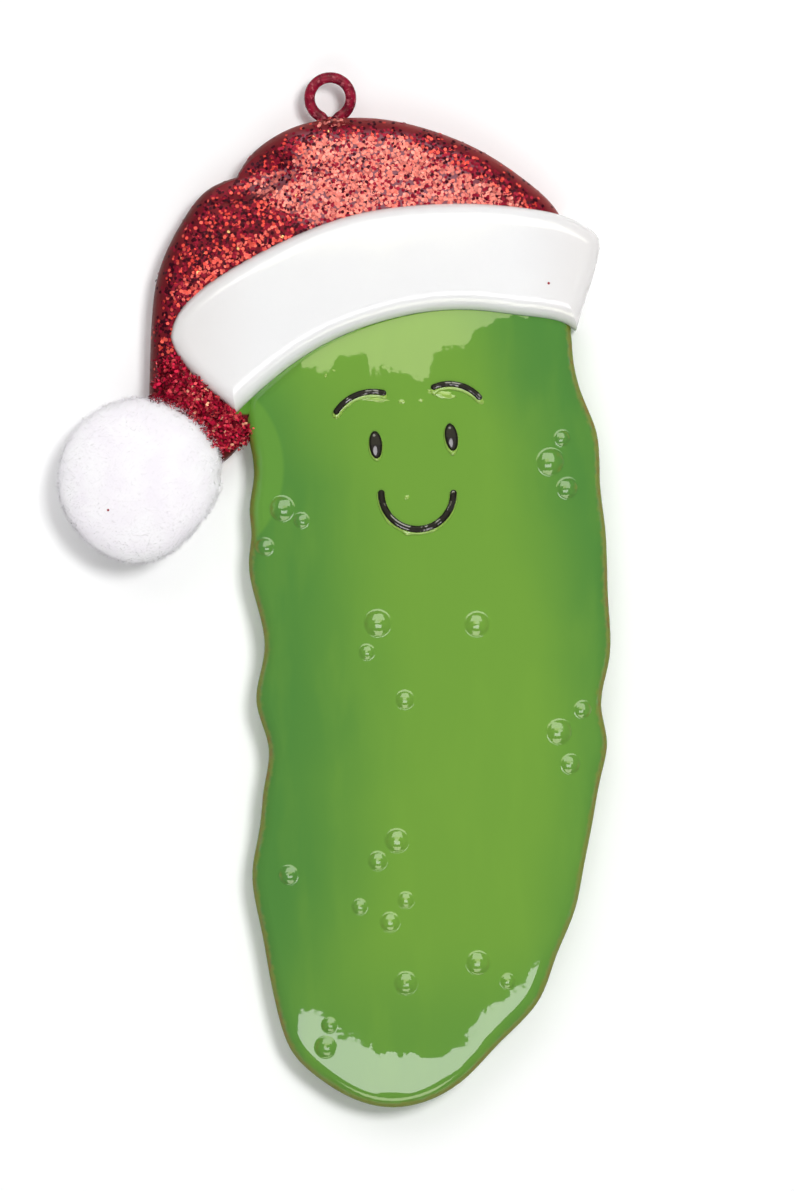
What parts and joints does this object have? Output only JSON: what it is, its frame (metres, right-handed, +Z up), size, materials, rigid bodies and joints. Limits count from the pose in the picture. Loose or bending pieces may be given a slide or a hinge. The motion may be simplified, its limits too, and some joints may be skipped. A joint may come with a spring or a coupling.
{
  "type": "pickle ornament",
  "caption": "Flat-backed resin pickle ornament with a smiling face, a glittered winter hat, a fur-white brim, a pom-pom and a wire hanging eye.",
  "frame": {"origin": "centre of the hanging eye's opening", "axes": "+Z up, from the pickle's foot to the eye; +Y out of the flat back; the painted front faces -Y"},
  "size_m": [0.0678, 0.0148, 0.1269],
  "materials": {
    "pickle_green": "gloss",
    "hat_red": "glitter",
    "brim_white": "gloss",
    "eye_wire": "gloss",
    "black_enamel": "gloss",
    "pom_fibre": "matte",
    "glue_clear": "gloss"
  },
  "bodies": {
    "root": {"hanging_eye": "eye_wire", "pickle_body": "pickle_green", "hat_crown": "hat_red", "hat_brim": "brim_white", "left_eye": "black_enamel", "right_eye": "black_enamel", "left_eyebrow": "black_enamel", "right_eyebrow": "black_enamel", "mouth": "black_enamel", "pom_tie": "pom_fibre", "glue_dab": "glue_clear", "pom_pom": "pom_fibre"}
  },
  "joints": []
}
